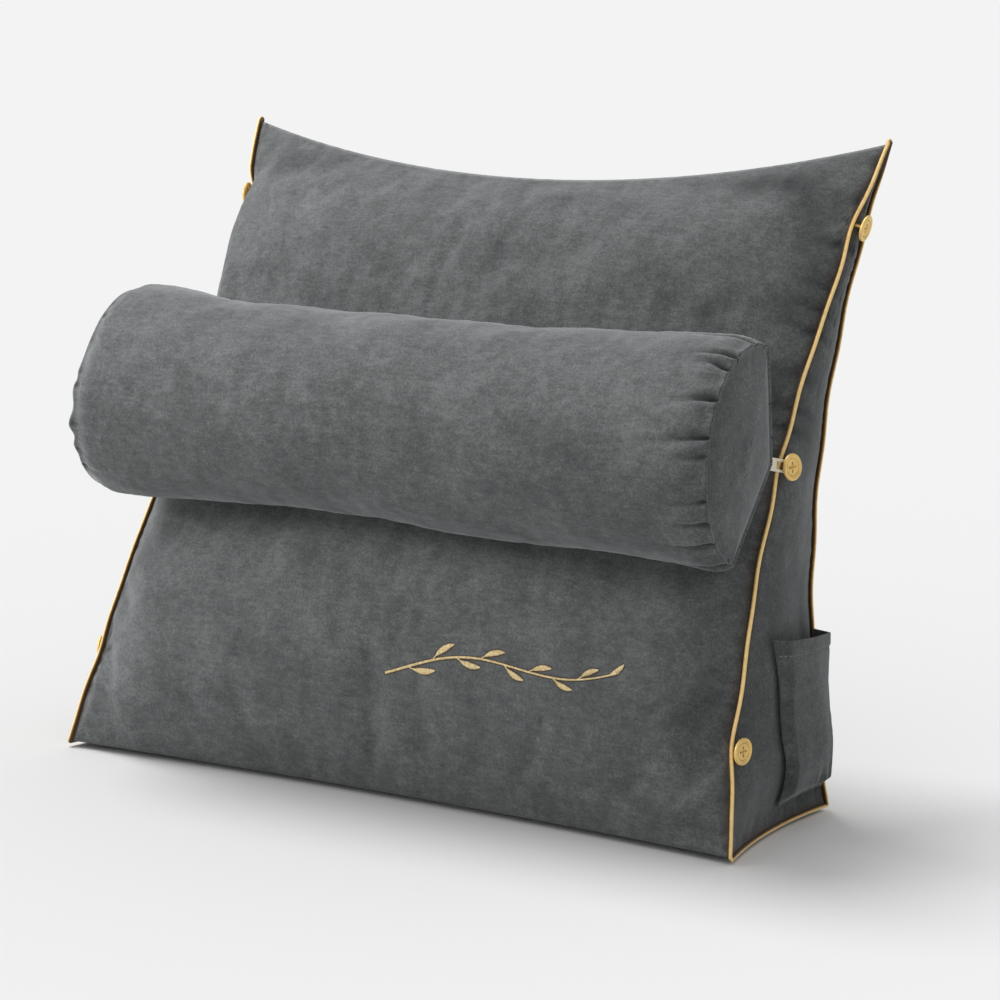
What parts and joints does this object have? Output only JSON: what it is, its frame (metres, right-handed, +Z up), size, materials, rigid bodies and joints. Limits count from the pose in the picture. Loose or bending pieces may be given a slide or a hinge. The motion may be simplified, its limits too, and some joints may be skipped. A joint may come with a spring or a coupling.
{
  "type": "backrest pillow",
  "caption": "Filled wedge cushion to lean on, with a neck bolster looped to buttons on its side seams, gold piping and a side pocket.",
  "frame": {"origin": "middle of the flat underside, half way between the front and back bottom seams", "axes": "+X along the width, to the side with the pocket; +Y from the front face to the back; +Z up"},
  "size_m": [0.6165, 0.2842, 0.4963],
  "materials": {
    "velvet": "matt slate grey short-pile velvet with a mottled nap",
    "piping": "satin gold cord piping with darker sewn edges",
    "button": "pale gold, softly glossy",
    "elastic": "woven cream elastic"
  },
  "bodies": {
    "root": {"wedge_cushion": "velvet", "neck_bolster": "velvet", "pocket": "velvet", "piping_right": "piping", "piping_left": "piping", "button_right_1": "button", "button_right_2": "button", "button_right_3": "button", "button_left_1": "button", "button_left_2": "button", "button_left_3": "button", "loop_right": "elastic", "loop_left": "elastic"}
  },
  "joints": []
}
